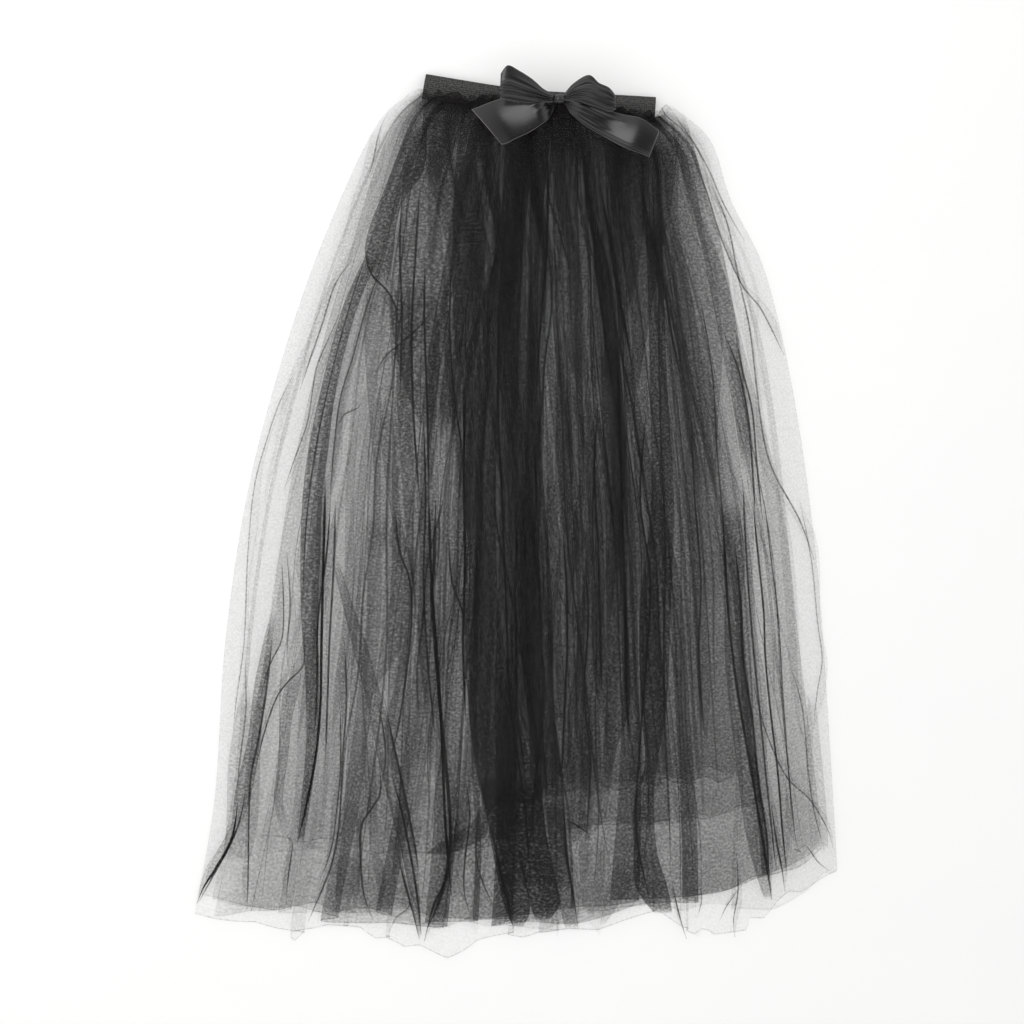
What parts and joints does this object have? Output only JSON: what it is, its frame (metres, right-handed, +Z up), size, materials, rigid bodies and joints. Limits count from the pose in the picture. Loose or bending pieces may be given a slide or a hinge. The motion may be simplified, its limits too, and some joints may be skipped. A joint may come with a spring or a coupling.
{
  "type": "tulle skirt",
  "caption": "Long gathered skirt of layered sheer black net on an elastic waistband, with a satin ribbon bow, laid out flat and face up.",
  "frame": {"origin": "on the surface the skirt lies on, under the middle of the outline", "axes": "+X to the right across the skirt as the picture shows it, +Y from the hem up to the waist, +Z up from the surface"},
  "size_m": [0.761, 1.0462, 0.0426],
  "materials": {
    "tulle": "sheer matt net",
    "elastic": "ribbed woven elastic, matt",
    "satin": "smooth satin, soft sheen"
  },
  "bodies": {
    "root": {"outer_back": "tulle", "second_back": "tulle", "third_back": "tulle", "inner_back": "tulle", "inner_front": "tulle", "third_front": "tulle", "second_front": "tulle", "outer_front": "tulle", "waistband": "elastic", "bow_tail_left": "satin", "bow_tail_right": "satin", "bow_loop_left": "satin", "bow_loop_right": "satin", "bow_knot": "satin"}
  },
  "joints": []
}
